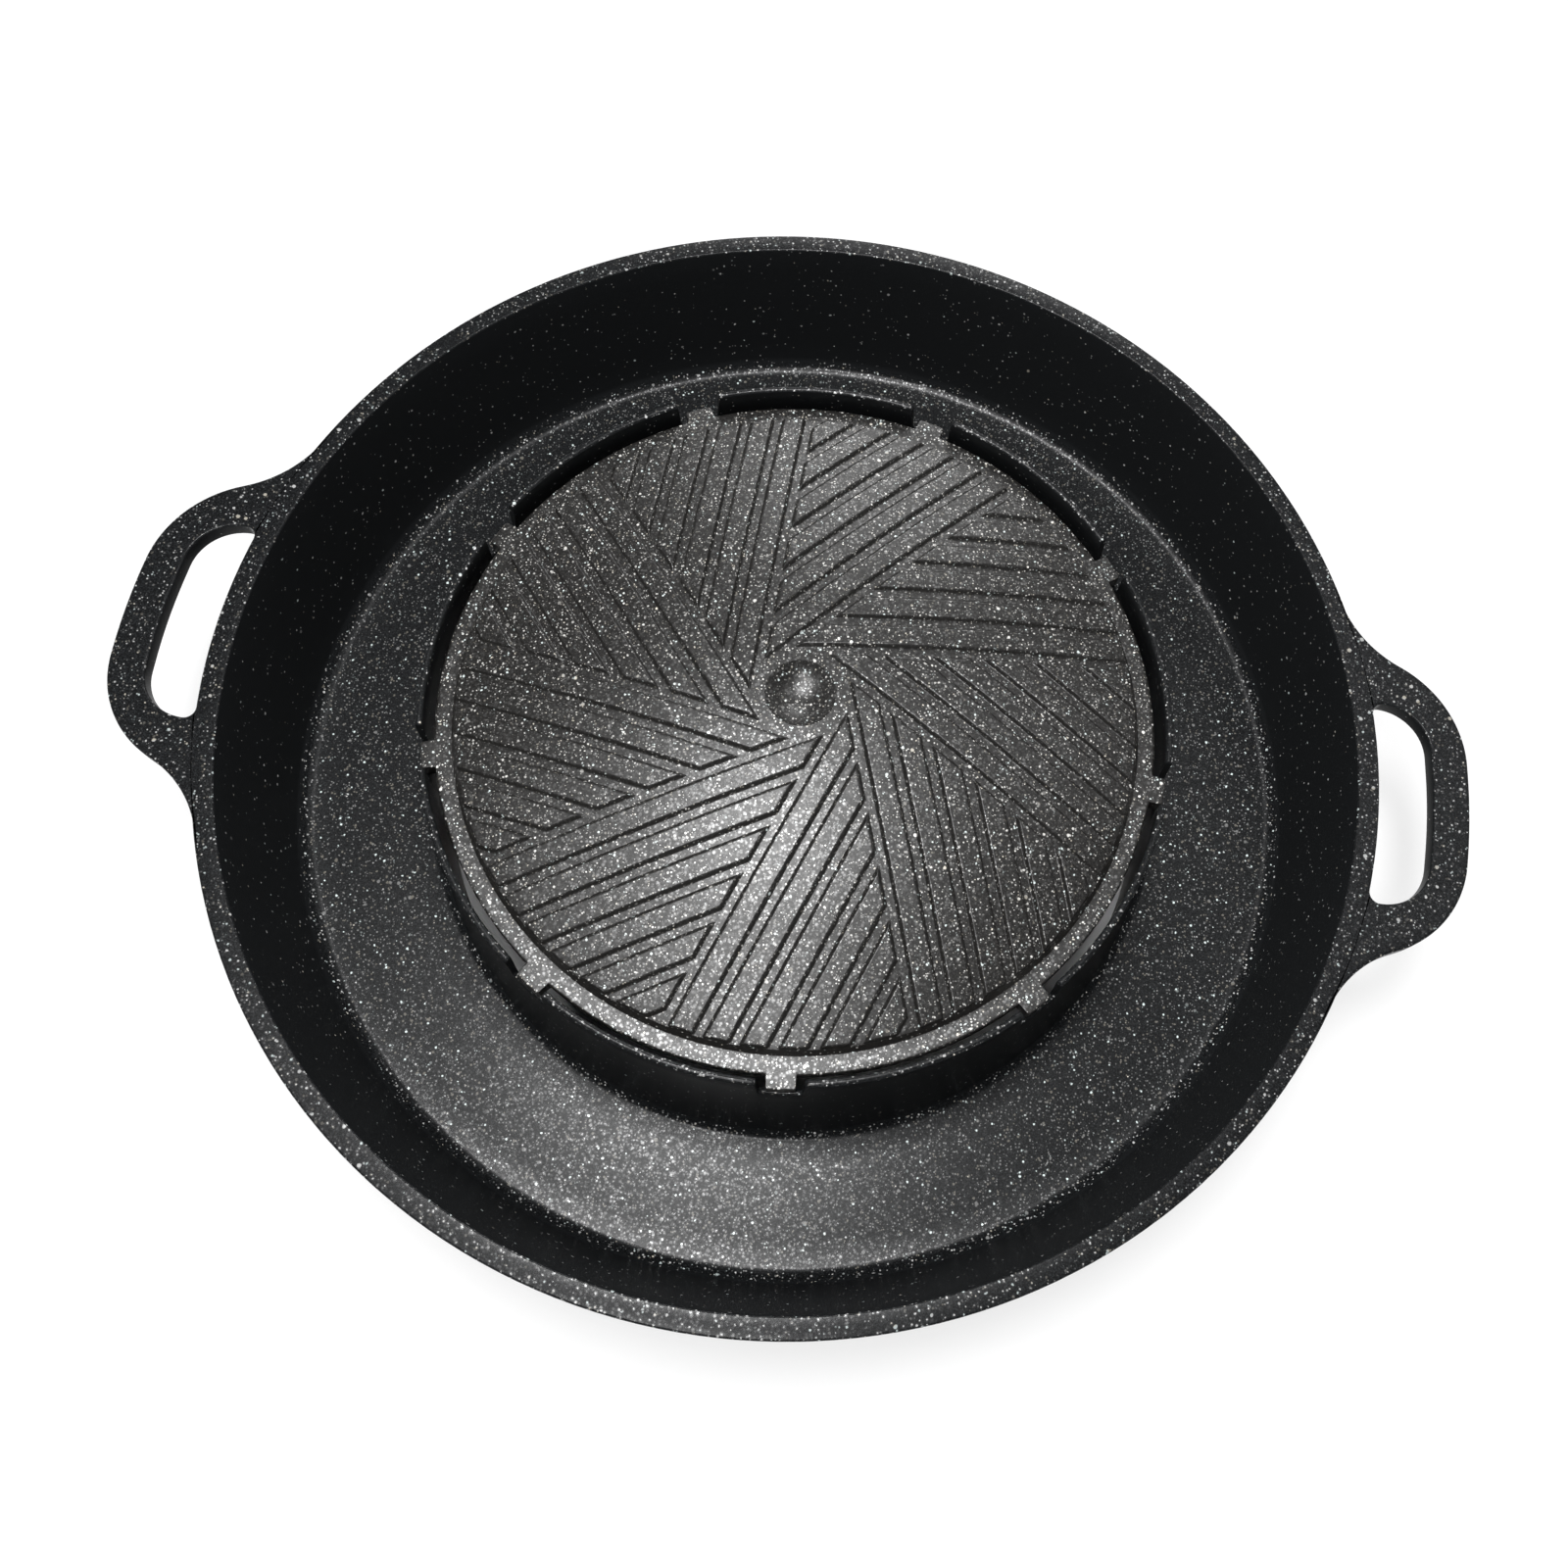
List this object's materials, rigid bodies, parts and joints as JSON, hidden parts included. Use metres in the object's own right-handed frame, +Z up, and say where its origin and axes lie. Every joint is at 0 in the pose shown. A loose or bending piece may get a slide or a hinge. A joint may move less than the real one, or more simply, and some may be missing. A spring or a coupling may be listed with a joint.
{
  "type": "hot pot grill pan",
  "caption": "Round pan with loop handles and a ring-shaped soup moat around a notched collar that carries a lift-off domed grill plate with pinwheel bars.",
  "frame": {"origin": "middle of the base, on the surface the pan stands on", "axes": "+X along the line through both handles, +Z up"},
  "size_m": [0.3708, 0.32, 0.0649],
  "materials": {
    "pan_coating": "cast aluminium under a near-black non-stick coating with fine pale speckles, semi-gloss",
    "plate_coating": "cast aluminium under a charcoal non-stick coating with dense fine pale speckles, satin"
  },
  "bodies": {
    "pan": {"pan_body": "pan_coating"},
    "plate": {"grill_plate": "plate_coating"}
  },
  "joints": [
    {"name": "plate_lift", "type": "slide", "parent": "pan", "child": "plate", "axis": [0, 0, 1], "range_m": [0, 0.06]}
  ]
}
